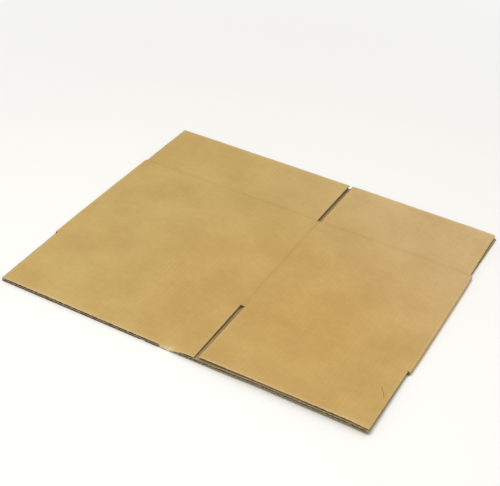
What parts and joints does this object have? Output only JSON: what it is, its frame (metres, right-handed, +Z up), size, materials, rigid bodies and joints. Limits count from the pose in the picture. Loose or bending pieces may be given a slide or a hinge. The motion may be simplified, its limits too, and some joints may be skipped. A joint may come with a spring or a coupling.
{
  "type": "flattened cardboard box",
  "caption": "Regular slotted shipping box of corrugated board, glued at its joint and folded flat, with open fluted edges, slots, flap scores and rounded side folds.",
  "frame": {"origin": "on the resting face, in the middle of the box's footprint", "axes": "+X along the row of panels, from fold to fold; +Y from the front flaps to the back flaps, along the flutes; +Z up, out of the upper layer"},
  "size_m": [0.543, 0.467, 0.0123],
  "materials": {
    "kraft_board": "matte brown kraft liner, with fluted medium at the cut edges"
  },
  "bodies": {
    "root": {"flattened_box": "kraft_board"}
  },
  "joints": []
}
